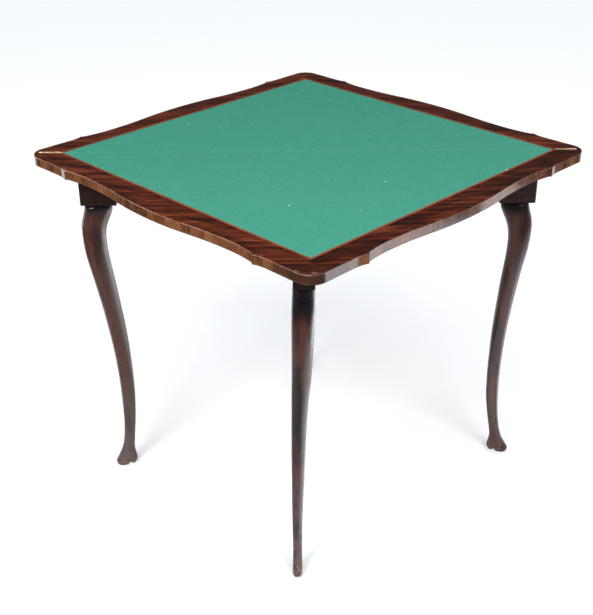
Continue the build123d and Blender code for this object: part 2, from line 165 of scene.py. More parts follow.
def ramp(tree, factor, stops):
    """Colours along a ramp, given as pairs of place and colour."""
    node = put(tree, "ValToRGB", {"Fac": factor})
    elements = node.color_ramp.elements
    while len(elements) < len(stops):
        elements.new(0.5)
    for element, (place, colour) in zip(elements, stops):
        element.position = place
        element.color = (*colour, 1.0)
    return node.outputs["Color"]


def blend_colours(tree, factor, first, second):
    """The first colour where the factor is 0, the second where it is 1."""
    first, second = (colour if isinstance(colour, bpy.types.NodeSocket) else (*colour, 1.0)
                     for colour in (first, second))
    # The Mix node takes colours at its inputs 6 and 7, and gives their mix at output 2.
    return put(tree, "Mix", {0: factor, 6: first, 7: second}, data_type="RGBA").outputs[2]


print("number and colour helpers are ready")

# %% Helpers for places and patterns
def own_place(tree):
    """The piece's own coordinates in metres."""
    return put(tree, "TexCoord", {}).outputs["Object"]


def parts_of_place(tree):
    """X, Y and Z of the piece's own coordinates, one socket each."""
    node = put(tree, "SeparateXYZ", {"Vector": own_place(tree)})
    return node.outputs["X"], node.outputs["Y"], node.outputs["Z"]


def noise_of(tree, size, detail=2.0, roughness=0.5, distortion=0.0, turn=0.0, place=None):
    """Noise whose features have the given size in metres along the turned X, Y and Z."""
    where = own_place(tree) if place is None else place
    turned = put(tree, "Mapping", {"Vector": where, "Rotation": (0.0, 0.0, turn), "Scale": size},
                 vector_type="TEXTURE").outputs["Vector"]
    sockets = {"Vector": turned, "Scale": 1.0, "Detail": detail, "Roughness": roughness,
               "Distortion": distortion}
    return put(tree, "TexNoise", sockets).outputs["Fac"]


def spot(tree, centre, radius, soft):
    """1 within the radius round a point of the piece, fading to 0 over the soft rim."""
    away = put(tree, "VectorMath", {0: own_place(tree), 1: centre}, operation="DISTANCE")
    return rise(tree, away.outputs["Value"], radius, radius + soft, 1.0, 0.0)


def bump(tree, shader, height, depth):
    """Raises the surface by the height times the depth in metres."""
    normal = put(tree, "Bump", {"Height": height, "Distance": depth, "Strength": 1.0}).outputs["Normal"]
    feed(tree, shader, Normal=normal)


# Noise mostly lies between these two numbers.
usual_noise = (0.3, 0.7)
print("place and pattern helpers are ready")

# %% [markdown]
# ## Rosewood border
#
# The border is rosewood veneer under french polish. Its grain runs nearly parallel to the fold on all
# four sides, and shows broad dark bands, fine red streaks and short open pores. A wave pattern would draw
# rings that are too even, so noise that is stretched along the grain makes all three. Each side was cut
# from another part of the log, so it has a tilt and a tone of its own. Polish is a clear coat, with small
# scuffs that dull it. The border is darker towards the front corner, and the rounded outer edge is painted
# pale in patches, a painted highlight.

# %% Rosewood figure
border_dark = (0.0135, 0.0034, 0.0021)
border_brown = (0.040, 0.0083, 0.0032)
border_red = (0.086, 0.0160, 0.0046)
border_bright = (0.175, 0.042, 0.0145)
border_stops = [(0.43, border_dark), (0.475, border_brown), (0.53, border_red), (0.60, border_bright)]
band_size = (0.17, 0.026, 0.026)
streak_size = (0.15, 0.0080, 0.0080)
line_size = (0.08, 0.0026, 0.0026)
pore_size = (0.012, 0.0007, 0.0007)


def rosewood_figure(tree, tilt, lean):
    """A number from 0 in the dark bands to 1 in the red streaks. The bands lean more than the streaks."""
    bands = noise_of(tree, band_size, detail=1.5, distortion=0.6, turn=lean)
    streaks = noise_of(tree, streak_size, roughness=0.6, distortion=0.35, turn=tilt)
    lines = noise_of(tree, line_size, roughness=0.6, distortion=0.1, turn=tilt)
    return weighted(tree, (lines, 0.40), (bands, 0.28), (streaks, 0.32))


print("rosewood colours:", len(border_stops))

# %% Rosewood finish
arris_highlight_colour = (0.42, 0.235, 0.165)
top_height = 0.765
arris_reach = (top_height - 2.3 * mm, top_height - 1.2 * mm)
dark_corner = (0.0, -0.56, top_height)
dark_reach = (0.02, 0.12)
dark_share = 0.55
pore_share = 0.55
pore_range = (0.60, 0.72)
pore_sink = 0.6
grain_depth = 0.05 * mm
scuff_size = (0.05, 0.05, 0.05)
ragged_range = (0.50, 0.62)
arris_patch_range = (0.38, 0.60)
wood_roughness = (0.26, 0.46)
polish_roughness = (0.12, 0.30)


def rosewood(name, tilt, lean, lift, edge_highlight, marks=()):
    """Polished rosewood with its grain at a tilt to X. A mark is a centre, a radius and a colour."""
    material, tree, shader = new_finish(name, Coat_Weight=0.32, Coat_Roughness=0.21, Coat_IOR=1.5,
                                        Specular_IOR_Level=0.15)
    figure = calc(tree, "ADD", rosewood_figure(tree, tilt, lean), lift)
    pores = rise(tree, noise_of(tree, pore_size, detail=1.0, turn=tilt), *pore_range)
    colour = ramp(tree, figure, border_stops)
    colour = blend_colours(tree, times(tree, pores, pore_share), colour, border_dark)
    # The border is made darker towards the front corner.
    corner_darkening = times(tree, spot(tree, dark_corner, *dark_reach), dark_share)
    colour = blend_colours(tree, corner_darkening, colour, border_dark)
    for centre, radius, mark_colour in marks:
        ragged = noise_of(tree, (radius / 2, radius / 7, radius / 2), detail=3.0, roughness=0.7)
        mark = times(tree, spot(tree, centre, radius / 3, radius), rise(tree, ragged, *ragged_range))
        colour = blend_colours(tree, mark, colour, mark_colour)
    dull = noise_of(tree, scuff_size, detail=4.0, roughness=0.6)
    # Painted highlight: the low, rounded outer edge is painted pale, broken up in patches by the scuff noise.
    low_part = rise(tree, parts_of_place(tree)[2], *arris_reach, edge_highlight, 0.0)
    arris_highlight = times(tree, low_part, rise(tree, dull, *arris_patch_range, 0.2, 1.0))
    feed(tree, shader, Base_Color=blend_colours(tree, arris_highlight, colour, arris_highlight_colour),
         Roughness=rise(tree, dull, 0.3, 0.8, *wood_roughness),
         Coat_Roughness=rise(tree, dull, 0.35, 0.75, *polish_roughness))
    bump(tree, shader, calc(tree, "MULTIPLY_ADD", pores, -pore_sink, figure), grain_depth)
    return material


scuff_colour = (0.36, 0.30, 0.30)
chip_colour = (0.42, 0.30, 0.24)
left_marks = [((-0.476, -0.091, top_height), 0.010, scuff_colour),
              ((-0.482, -0.106, top_height), 0.008, chip_colour),
              ((-0.040, -0.531, top_height), 0.007, chip_colour),
              ((-0.025, -0.538, top_height), 0.006, chip_colour)]
right_marks = [((0.004, -0.5465, top_height), 0.006, chip_colour)]
# The tilt and lean of the grain in degrees, the lift of its tone, the strength of the painted highlight on
# the edge, and the marks.
border_sides = {"front_left": (-1.0, -26.0, -0.006, 0.75, left_marks),
                "front_right": (5.0, 24.0, -0.010, 0.2, right_marks),
                "back_left": (4.0, 22.0, -0.004, 0.5, ()),
                "back_right": (-4.0, -22.0, -0.018, 0.5, ())}
for side, (tilt, lean, *looks) in border_sides.items():
    angles = (math.radians(tilt), math.radians(lean))
    finishes[f"border_{side}"] = rosewood(f"rosewood_{side}", *angles, *looks)
print("rosewood sides:", sorted(border_sides))

# %% [markdown]
# ## Veneer under the front leaf
#
# When the table is closed, the underside of the front leaf is its top. Such a face is usually veneered
# with two matched sheets that meet on the middle line, so the grain is mirrored there. Two materials
# could do that, but taking the absolute value of X before the grain is drawn mirrors it in one.

# %% Show veneer finish
show_tilt = math.radians(38)
show_band_size = (0.5, 0.045, 0.045)
show_line_size = (0.2, 0.003, 0.003)
show_stops = [(0.36, border_dark), (0.47, border_brown), (0.58, border_red), (0.70, border_bright)]
middle_joint = (0.2 * mm, 0.7 * mm)


def matched_veneer(name):
    """Rosewood whose two halves mirror each other about the middle of the leaf."""
    material, tree, shader = new_finish(name, Coat_Weight=0.5, Roughness=0.34, Coat_Roughness=0.2)
    across, forward, upward = parts_of_place(tree)
    from_middle = calc(tree, "ABSOLUTE", across)
    where = put(tree, "CombineXYZ", {"X": from_middle, "Y": forward, "Z": upward}).outputs["Vector"]
    grain = {"turn": show_tilt, "place": where}
    bands = noise_of(tree, show_band_size, distortion=0.8, **grain)
    lines = noise_of(tree, show_line_size, detail=3.0, roughness=0.6, distortion=0.2, **grain)
    figure = weighted(tree, (bands, 0.68), (lines, 0.32))
    joint = rise(tree, from_middle, *middle_joint, 1.0, 0.0)
    feed(tree, shader, Base_Color=blend_colours(tree, joint, ramp(tree, figure, show_stops), border_dark))
    bump(tree, shader, figure, grain_depth)
    return material


finishes["show_veneer"] = matched_veneer("rosewood_show_veneer")
print("veneer:", finishes["show_veneer"].name)

# %% [markdown]
# ## Crossbanded edge
#
# The shaped edge carries a band of lighter veneer whose grain stands upright, laid in short lengths with
# fine joints. It could follow the edge through an unwrapped map, but along each side only one number
# changes, the distance along that side, so both the upright grain and the joints are drawn from it. The
# upper and lower corners of the band are painted pale in patches, painted highlights along the arrises.

# %% Edge band colours and sizes
band_dark = (0.048, 0.0140, 0.0052)
band_brown = (0.172, 0.057, 0.0175)
band_gold = (0.300, 0.120, 0.042)
band_stops = [(0.36, band_dark), (0.5, band_brown), (0.66, band_gold)]
corner_dark = (0.030, 0.0110, 0.0060)
rim_highlight_colour = (0.380, 0.225, 0.160)
upright_size = (0.0024, 1.0, 0.030)
upright_depth = 0.03 * mm
cloud_size = (0.018, 1.0, 0.040)
band_length = 0.022
joint_range = (0.008, 0.024)
joint_share = 0.95
corner_reach = (0.030, 0.080)
corner_share = 0.85
front_reach = (-0.45, -0.40)
band_low, band_top = (corner.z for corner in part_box("front_edge_band_left"))
high_rim_reach = (band_top - 1.3 * mm, band_top - 0.3 * mm)
low_rim_reach = (band_low + 0.2 * mm, band_low + 1.0 * mm)
low_rim_share = 0.55
print("edge band from", round(band_low, 4), "to", round(band_top, 4))

# %% Edge band finish
def edge_band(name, along_sign, lift, edge_highlight):
    """The band of one side. The distance along the side is x plus or minus y, over the root of two."""
    material, tree, shader = new_finish(name, Coat_Weight=1.0, Coat_Roughness=0.12, Coat_IOR=2.15,
                                        Specular_IOR_Level=0.1)
    across, forward, upward = parts_of_place(tree)
    along = calc(tree, "DIVIDE", calc(tree, "MULTIPLY_ADD", forward, along_sign, across), math.sqrt(2))
    where = put(tree, "CombineXYZ", {"X": along, "Z": upward}).outputs["Vector"]
    upright = noise_of(tree, upright_size, detail=3.0, roughness=0.7, place=where)
    cloudy = noise_of(tree, cloud_size, place=where)
    lengths = {"W": along, "Scale": 1 / band_length}
    tones = put(tree, "TexVoronoi", lengths, voronoi_dimensions="1D").outputs["Color"]
    tone = put(tree, "SeparateColor", {"Color": tones}).outputs["Red"]
    figure = weighted(tree, (tone, 0.15), (upright, 0.55), (cloudy, 0.3))
    colour = ramp(tree, calc(tree, "ADD", figure, lift), band_stops)
    to_joint = put(tree, "TexVoronoi", lengths, voronoi_dimensions="1D", feature="DISTANCE_TO_EDGE")
    joint = rise(tree, to_joint.outputs["Distance"], *joint_range, joint_share, 0.0)
    colour = blend_colours(tree, joint, colour, band_dark)
    near_middle = rise(tree, calc(tree, "ABSOLUTE", across), *corner_reach, corner_share, 0.0)
    corner = times(tree, near_middle, rise(tree, forward, *front_reach, 1.0, 0.0))
    colour = blend_colours(tree, corner, colour, corner_dark)
    # Painted highlight: the upper and lower rims of the band are painted pale in patches.
    high_rim = rise(tree, upward, *high_rim_reach)
    low_rim = rise(tree, upward, *low_rim_reach, low_rim_share, 0.0)
    rim_highlight_patches = rise(tree, cloudy, 0.3, 0.6, 0.4 * edge_highlight, edge_highlight)
    worn = times(tree, calc(tree, "MAXIMUM", high_rim, low_rim), rim_highlight_patches)
    feed(tree, shader, Base_Color=blend_colours(tree, worn, colour, rim_highlight_colour),
         Roughness=rise(tree, cloudy, *usual_noise, 0.30, 0.42),
         Coat_Roughness=rise(tree, upright, *usual_noise, 0.08, 0.16))
    bump(tree, shader, calc(tree, "SUBTRACT", upright, joint), upright_depth)
    return material


# The sign of y in the distance along the side, the lift of the tone, and the strength of the painted
# highlight on the rims.
band_looks = {"rising": (1.0, -0.07, 0.35), "falling": (-1.0, 0.0, 0.95)}
for slope, looks in band_looks.items():
    finishes[f"band_{slope}"] = edge_band(f"edge_band_{slope}", *looks)
print("edge bands:", list(band_looks))

# %% [markdown]
# ## Stringing
#
# A line of orange wood divides the border from the cloth. Its grain runs along each side. Dirt has gathered
# in the joint with the border, and painted shade lies in the step down to the cloth; both show as thin dark
# lines.
# They could be grooves in the mesh, but they are finer than any face here. The sum of the absolute values
# of X and Y is the same all along a square that stands on its corner, so it measures how far a point is
# from the cloth. A chip of pale wood fills a gap at the left end of the fold.

# %% Stringing finish
string_light = (0.320, 0.064, 0.0150)
string_deep = (0.165, 0.030, 0.0090)
string_dirt_and_shade = (0.020, 0.010, 0.006)
string_chip = (0.55, 0.44, 0.34)
string_fibre_size = (0.06, 0.0009, 0.0009)
string_patch_size = (0.03, 0.03, 0.03)
cloth_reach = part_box("back_cloth")[1].y
string_reach = -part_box("front_stringing_left")[0].y
inner_shade_reach = (cloth_reach + 0.2 * mm, cloth_reach + 1.2 * mm)
outer_dirt = (string_reach - 1.8 * mm, string_reach - 0.4 * mm)
chip_place = (-cloth_reach - 2.5 * mm, 0.0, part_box("front_stringing_left")[1].z)
chip_size = (2.4 * mm, 0.6 * mm)
inner_shade_share = 0.7
outer_share = 0.9
string_depth = 0.03 * mm


def stringing(name, turn):
    """Orange stringing with its grain at a turn to X."""
    material, tree, shader = new_finish(name, Roughness=0.34, Coat_Weight=0.4, Coat_Roughness=0.18)
    fibres = noise_of(tree, string_fibre_size, detail=3.0, roughness=0.6, turn=turn)
    tone = weighted(tree, (fibres, 0.5), (noise_of(tree, string_patch_size), 0.5))
    colour = ramp(tree, tone, [(0.38, string_deep), (0.6, string_light)])
    across, forward = parts_of_place(tree)[:2]
    reach = calc(tree, "ADD", calc(tree, "ABSOLUTE", across), calc(tree, "ABSOLUTE", forward))
    # Painted shade: a thin dark line in the step down to the cloth. The outer line is dirt in the joint with
    # the border.
    inner_shade = rise(tree, reach, *inner_shade_reach, inner_shade_share, 0.0)
    outer = rise(tree, reach, *outer_dirt, 0.0, outer_share)
    colour = blend_colours(tree, calc(tree, "MAXIMUM", inner_shade, outer), colour, string_dirt_and_shade)
    chip = spot(tree, chip_place, *chip_size)
    feed(tree, shader, Base_Color=blend_colours(tree, chip, colour, string_chip))
    bump(tree, shader, fibres, string_depth)
    return material


for slope, degrees in {"rising": 45, "falling": -45}.items():
    finishes[f"string_{slope}"] = stringing(f"stringing_{slope}", math.radians(degrees))
print("cloth reaches", round(cloth_reach, 4), "from the middle")

# %% [markdown]
# ## Baize
#
# Baize is a felted wool cloth. It has no weave that shows, only short fibres, so a fine noise raises it
# and a faint sheen lights its nap. It is painted lighter at the front and darker towards the back, painted
# shade, paler where the fold has rubbed it, and a few bits of lint lie on it. Lint could be tiny meshes,
# but spots of colour are enough at this size.

# %% Baize finish
baize_lit_front = (0.0300, 0.196, 0.140)
baize_shaded_back = (0.0150, 0.174, 0.112)
baize_worn = (0.062, 0.290, 0.222)
lint_colour = (0.62, 0.72, 0.62)
lint_rim = 0.5 * mm
nap_size = (0.0030, 0.0030, 0.0030)
nap_depth = 0.25 * mm
mottle_size = (0.030, 0.030, 0.030)
crease_reach = (0.6 * mm, 3.5 * mm)
crease_share = 0.32
nap_range = (0.38, 0.66)
nap_share = 0.6
cloth_ends = (-0.45, 0.45)
cloth_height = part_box("back_cloth")[1].z
lint = [((-0.252, 0.169, cloth_height), 0.0011), ((-0.036, -0.275, cloth_height), 0.0013),
        ((0.091, -0.298, cloth_height), 0.0007), ((0.144, -0.166, cloth_height), 0.0012),
        ((0.379, -0.108, cloth_height), 0.0014)]

material, tree, shader = new_finish("green_baize", Roughness=0.95, Specular_IOR_Level=0.1, Sheen_Weight=0.12,
                                    Sheen_Roughness=0.5, Sheen_Tint=(0.55, 0.95, 0.75, 1.0))
forward = parts_of_place(tree)[1]
nap = noise_of(tree, nap_size, detail=3.0, roughness=0.75)
mottle = noise_of(tree, mottle_size, detail=3.0, roughness=0.6)
# Painted shade: the cloth is painted lighter at the front and darker towards the back.
colour = blend_colours(tree, rise(tree, forward, *cloth_ends), baize_lit_front, baize_shaded_back)
worn = weighted(tree, (nap, 0.88), (mottle, 0.12))
colour = blend_colours(tree, rise(tree, worn, *nap_range, 0.0, nap_share), colour, baize_worn)
crease = rise(tree, calc(tree, "ABSOLUTE", forward), *crease_reach, crease_share, 0.0)
colour = blend_colours(tree, crease, colour, baize_worn)
for centre, radius in lint:
    colour = blend_colours(tree, spot(tree, centre, radius, lint_rim), colour, lint_colour)
feed(tree, shader, Base_Color=colour)
bump(tree, shader, nap, nap_depth)
finishes["baize"] = material
print("baize with", len(lint), "bits of lint")

# %% [markdown]
# ## Cloth on the leaves
#
# Each leaf is lined with a triangle of baize, glued down flat. It could be one flat face, but its edges
# are cut and pressed down into the rebate, and no glued cloth is quite level. A grid that is cut to a
# triangle, given a rim by an inset and lowered at that rim shows both, and a Solidify modifier gives it
# its thickness.

# %% Make an object from a bmesh
merge_distance = 1e-6


def new_piece(name, shape, material, smooth=True):
    """Turns a finished bmesh into an object of the scene with one material."""
    mesh = bpy.data.meshes.new(name)
    shape.to_mesh(mesh)
    shape.free()
    for polygon in mesh.polygons:
        polygon.use_smooth = smooth
    mesh.materials.append(material)
    piece = bpy.data.objects.new(name, mesh)
    bpy.context.scene.collection.objects.link(piece)
    return piece


def whole(shape):
    """Everything in a bmesh, for the operators that ask for it."""
    return shape.verts[:] + shape.edges[:] + shape.faces[:]


print("mesh helpers are ready")

# %% Baize triangles
cloth_cells = 72
cloth_thickness = 0.8 * mm
rim_width = 1.6 * mm
rim_drop = 0.35 * mm
cloth_lift = 0.12 * mm
lift_pitch = 9
fold_gap = 0.06 * mm


def baize_triangle(name, node, body, side):
    """The cloth of one leaf. The side is 1 for the back leaf and -1 for the front leaf."""
    sheet = bmesh.new()
    half_side = cloth_reach / math.sqrt(2)
    bmesh.ops.create_grid(sheet, x_segments=cloth_cells, y_segments=cloth_cells, size=half_side)
    bmesh.ops.rotate(sheet, verts=sheet.verts, matrix=Matrix.Rotation(math.radians(45), 3, "Z"))
    bmesh.ops.bisect_plane(sheet, geom=whole(sheet), dist=merge_distance, plane_no=(0, -side, 0),
                           plane_co=(0, side * fold_gap, 0), clear_outer=True)
    bmesh.ops.inset_region(sheet, faces=sheet.faces, thickness=rim_width, use_boundary=True,
                           use_even_offset=True)
    rim = {vert for edge in sheet.edges if edge.is_boundary for vert in edge.verts}
    for vert in sheet.verts:
        vert.co.z = cloth_height - cloth_lift * (1 + noise.noise(vert.co * lift_pitch))
    for vert in rim:
        vert.co.z = cloth_height - rim_drop
    bmesh.ops.recalc_face_normals(sheet, faces=sheet.faces)
    piece = new_piece(name, sheet, finishes["baize"])
    thickness = piece.modifiers.new("thickness", "SOLIDIFY")
    thickness.thickness = cloth_thickness
    thickness.offset = -1.0
    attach(piece, body)
    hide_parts(node)
    return piece


cloths = {"back_baize": ("back_cloth", "frame", 1), "front_baize": ("front_cloth", "front_leaf", -1)}
for name, (node, body, side) in cloths.items():
    piece = baize_triangle(name, node, body, side)
    print(name, "faces:", len(piece.data.polygons), "upward:", piece.data.polygons[0].normal.z > 0)

# %% [markdown]
# ## Leg wood
#
# The four cabriole legs are carved from one dark wood, stained and polished. The stain lies in long
# cloudy patches, fine fibres run down the leg, and the top is painted black, painted shade under the table.
# The lower part is painted grey in patches, a painted reflection of the pale floor, and the toes are knocked
# down to bare wood. These marks could be drawn in a map, but a mask that fades with height and is broken up
# by noise gives them without a map.

# %% Leg colours and sizes
leg_dark = (0.0085, 0.0040, 0.0034)
leg_brown = (0.0360, 0.0115, 0.0080)
leg_red = (0.078, 0.0235, 0.0140)
leg_shade_black = (0.0050, 0.0034, 0.0034)
leg_stops = [(0.40, leg_dark), (0.50, leg_brown), (0.62, leg_red)]
floor_reflection_grey = (0.120, 0.097, 0.094)
worn_pink = (0.26, 0.17, 0.145)
scratch_colour = (0.30, 0.12, 0.06)
scratch_share = 0.75
scratch_reach = (0.0045, 0.0045)
knee_scratches = [(0.0030, 0.572), (0.0065, 0.560), (0.0045, 0.548), (0.0075, 0.541), (0.0035, 0.533)]
stain_size = (0.022, 0.022, 0.14)
leg_fibre_size = (0.0016, 0.0016, 0.05)
leg_fibre_depth = 0.05 * mm
knock_size = (0.003, 0.003, 0.006)
knock_range = (0.50, 0.60)
scratch_size = (0.0016, 0.004, 0.0040)
scratch_range = (0.46, 0.56)
shade_fade = 0.03
reflection_heights = (0.03, 0.30)
toe_heights = (0.008, 0.045)
extra_toe_wear = 0.2
print("leg colours:", len(leg_stops), "scratches:", len(knee_scratches))

# %% Leg finishes
def leg_wood(name, gloss, lift, shade_from, worn):
    """Leg wood, painted black near the top as painted shade. Gloss is the polish, lift reddens it, and the
    last number paints the lower leg grey, a painted reflection of the floor, and wears the toes pink.
    """
    material, tree, shader = new_finish(name, Coat_Weight=gloss, Coat_Roughness=0.28, Coat_IOR=1.6,
                                        Specular_IOR_Level=0.1)
    upward = parts_of_place(tree)[2]
    stain = noise_of(tree, stain_size, detail=3.0, roughness=0.55, distortion=0.3)
    fibres = noise_of(tree, leg_fibre_size, detail=3.0, roughness=0.6)
    tone = weighted(tree, (stain, 0.72), (fibres, 0.28))
    colour = ramp(tree, calc(tree, "ADD", tone, lift), leg_stops)
    # Painted shade: the top of the leg is painted near black, under the table.
    colour = blend_colours(tree, rise(tree, upward, shade_from, shade_from + shade_fade), colour, leg_shade_black)
    patchy = rise(tree, stain, *usual_noise, 0.4, 1.0)
    # Painted reflection: the lower leg is painted grey in patches, where it would mirror the pale floor. The
    # pink toes are real wear.
    floor_reflection = times(tree, rise(tree, upward, *reflection_heights, worn, 0.0), patchy)
    colour = blend_colours(tree, floor_reflection, colour, floor_reflection_grey)
    knocked = rise(tree, noise_of(tree, knock_size, roughness=0.7), *knock_range)
    toe_wear = times(tree, knocked, rise(tree, upward, *toe_heights, worn + extra_toe_wear, 0.0))
    colour = blend_colours(tree, toe_wear, colour, worn_pink)
    feed(tree, shader, Roughness=rise(tree, fibres, *usual_noise, 0.30, 0.44),
         Coat_Roughness=rise(tree, stain, *usual_noise, 0.22, 0.34))
    bump(tree, shader, fibres, leg_fibre_depth)
    return material, tree, shader, colour


def knee_marks(tree, colour, front):
    """Light scratches on the knee of the gate's leg, where chairs rub it."""
    for across, height in knee_scratches:
        ragged = rise(tree, noise_of(tree, scratch_size, roughness=0.7), *scratch_range)
        touched = times(tree, spot(tree, (across, front, height), *scratch_reach), ragged)
        colour = blend_colours(tree, times(tree, touched, scratch_share), colour, scratch_colour)
    return colour


# Gloss, lift, the height where the painted shade begins, and the strength of the painted floor reflection and
# of the toe wear.
leg_looks = {"leg_right": (0.36, 0.01, 0.610, 0.15), "leg_left": (1.0, 0.12, 0.615, 0.60),
             "leg_back": (0.9, 0.02, 0.620, 0.50), "gate_leg": (0.76, 0.01, 0.575, 0.80)}
for node, looks in leg_looks.items():
    material, tree, shader, colour = leg_wood(f"dark_{node}_wood", *looks)
    if node == "gate_leg":
        colour = knee_marks(tree, colour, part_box("gate_leg")[0].y)
    feed(tree, shader, Base_Color=colour)
    finishes[node] = material
print("leg woods:", [finishes[node].name for node in leg_looks])

# %% [markdown]
# ## Measure the legs
#
# Each leg ends in a small cloven hoof with a heel lobe behind it. Such a leg could be drawn from numbers
# once more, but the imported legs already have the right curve, so each new leg is measured from them: a
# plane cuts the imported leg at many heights, and every cut gives the middle and the width of one ring. The
# cuts lie closest at the foot, where the carving is finest, and at the knee, where the leg turns quickly.

# %% Measure the rings of a leg
leg_angles = {"leg_right": -22.5, "leg_left": 202.5, "leg_back": 90.0, "gate_leg": -90.0}
leg_bodies = {"leg_right": "frame", "leg_left": "frame", "leg_back": "frame", "gate_leg": "gate"}
leg_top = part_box("back_post")[0].z
foot_heights = [step * 2.2 * mm for step in range(28)]
shin_heights = [0.070 + step * 0.0125 for step in range(42)]
knee_heights = [0.592 + step * 0.0042 for step in range(13)]
sole_lift = 0.15 * mm
foot_ring = 4


def middle_and_half(values):
    """The middle of some numbers, and half the way between the lowest and the highest."""
    return (max(values) + min(values)) / 2, (max(values) - min(values)) / 2


def leg_rings(node, turn):
    """The height, middle and half widths of each ring, in the leg's own turned frame."""
    cut = bmesh.new()
    cut.from_mesh(nodes[node].data)
    bmesh.ops.remove_doubles(cut, verts=cut.verts, dist=merge_distance)
    bmesh.ops.rotate(cut, verts=cut.verts, matrix=turn.inverted())
    rings = []
    for height in foot_heights + shin_heights + knee_heights + [leg_top]:
        level = min(max(height, sole_lift), leg_top - sole_lift)
        found = bmesh.ops.bisect_plane(cut, geom=whole(cut), plane_co=(0, 0, level), plane_no=(0, 0, 1),
                                       clear_inner=True)["geom_cut"]
        points = [item.co for item in found if isinstance(item, bmesh.types.BMVert)]
        outward, half_out = middle_and_half([point.x for point in points])
        sideways, half_side = middle_and_half([point.y for point in points])
        rings.append((Vector((outward, sideways, height)), half_out, half_side))
    cut.free()
    return rings


turns = {node: Matrix.Rotation(math.radians(angle), 3, "Z") for node, angle in leg_angles.items()}
measured = {node: leg_rings(node, turns[node]) for node in leg_angles}
for node, rings in measured.items():
    widths = [round(2 * half / mm, 1) for half in rings[foot_ring][1:]]
    print(node, "rings:", len(rings), "foot in mm:", widths)

# %% [markdown]
# ## The carver's hand
#
# Legs are carved by hand, so no two are alike: each is a few millimetres off its pattern here and there,
# and the toe of the front leg reaches a little further forward. Random noise would only make them bumpy,
# so each leg has a short list of heights with its shift and its gain in width, and every ring takes what
# lies between.

# %% Trims of each leg
toe_reach = {"gate_leg": 10.5 * mm}
toe_height = 0.11
# Height in metres, shift to the right and gain in width in millimetres.
hand_trims = {
    "leg_left": [(0.0, 1.4, 0.0), (0.05, 1.7, 0.0), (0.09, 0.7, 1.3), (0.15, -0.5, 2.8), (0.30, -0.6, 3.0),
                 (0.42, -0.2, 2.6), (0.52, 0.4, 3.3), (0.557, 0.2, 2.6), (0.60, -1.6, 0.6),
                 (0.648, -1.0, 0.0)],
    "leg_right": [(0.0, 0.0, 0.0), (0.042, 0.2, -2.0), (0.085, 0.3, 0.0), (0.148, 0.7, 1.3), (0.19, 1.5, 0.4),
                  (0.275, 2.0, -0.4), (0.317, 1.4, -1.1), (0.36, 0.9, -1.3), (0.423, 0.0, -0.9),
                  (0.466, -1.0, -0.7), (0.508, -2.0, -1.3), (0.55, -2.1, -0.7), (0.614, 0.0, 0.0)],
    "gate_leg": [(0.0, 1.0, 1.5), (0.02, 1.0, 0.4), (0.057, 0.3, 0.9), (0.093, -0.8, 1.5), (0.13, -1.4, 1.7),
                 (0.20, -1.5, 2.3), (0.275, -2.2, 2.1), (0.34, -2.5, 2.0), (0.402, -2.1, 1.1),
                 (0.439, -0.7, 1.3), (0.475, -0.3, 0.6), (0.648, 0.0, 0.0)],
    "leg_back": [(0.0, 0.0, 0.0), (0.20, 0.8, 1.0), (0.45, -0.8, 0.5), (0.648, 0.0, 0.0)],
}


def fade(value, start, end):
    """1 below the start, 0 above the end, smooth between."""
    share = min(max((value - start) / (end - start), 0.0), 1.0)
    return 1 - share * share * (3 - 2 * share)


def trim_at(node, height):
    """The shift and the gain in width at a height, in metres."""
    trims = hand_trims[node]
    if height >= trims[-1][0]:
        return trims[-1][1] * mm, trims[-1][2] * mm
    above = next(place for place, trim in enumerate(trims) if trim[0] > height)
    low, high = Vector(trims[above - 1]), Vector(trims[above])
    between = low.lerp(high, (height - low.x) / (high.x - low.x))
    return between.y * mm, between.z * mm


def trim_ring(node, loop):
    """Shifts and widens one ring of a leg that already stands in its place."""
    middle, half = middle_and_half([vert.co.x for vert in loop])
    shift, gain = trim_at(node, loop[0].co.z)
    share = 1 + gain / (2 * half)
    for vert in loop:
        vert.co.x = middle + shift + (vert.co.x - middle) * share
        vert.co.y -= toe_reach.get(node, 0.0) * fade(vert.co.z, 0.0, toe_height)


print("trims:", {node: len(trims) for node, trims in hand_trims.items()})

# %% [markdown]
# ## The hoof
#
# The hoof is cut with a few strokes of a gouge: a groove up each flank, a cleft between the toes, a notch
# under the sole and a small lobe left standing as the heel. Boolean cuts would leave hard edges and thin
# faces. A smooth hump of distance, pressed into the points near the floor, leaves soft, worn edges.

# %% Carve the hoof
groove_place = -0.30
groove_width = 0.17
groove_depth = 3.6 * mm
groove_heights = (0.016, 0.046)
flank_part = (0.25, 0.75)
cleft_width = 0.15
cleft_depth = 3.4 * mm
cleft_heights = (0.010, 0.030)
toe_part = (0.15, 0.7)
notch_depth = 4.2 * mm
notch_width = 0.22
notch_height = 0.012
sole_cleft_part = (-0.1, 0.3)
sole_cleft_share = 0.6
lobe_swell = 1.2 * mm
lobe_part = (-0.75, -0.35)
lobe_height = 0.013
lobe_width = 0.011
claw_swell = 0.6 * lobe_swell
claw_part = (0.0, 0.5)
claw_side = 0.6
claw_spread = 0.4
claw_height = 0.012


def hump(value, width):
    """1 at zero, falling to nothing about two widths away."""
    return math.exp(-(value / width) ** 2)


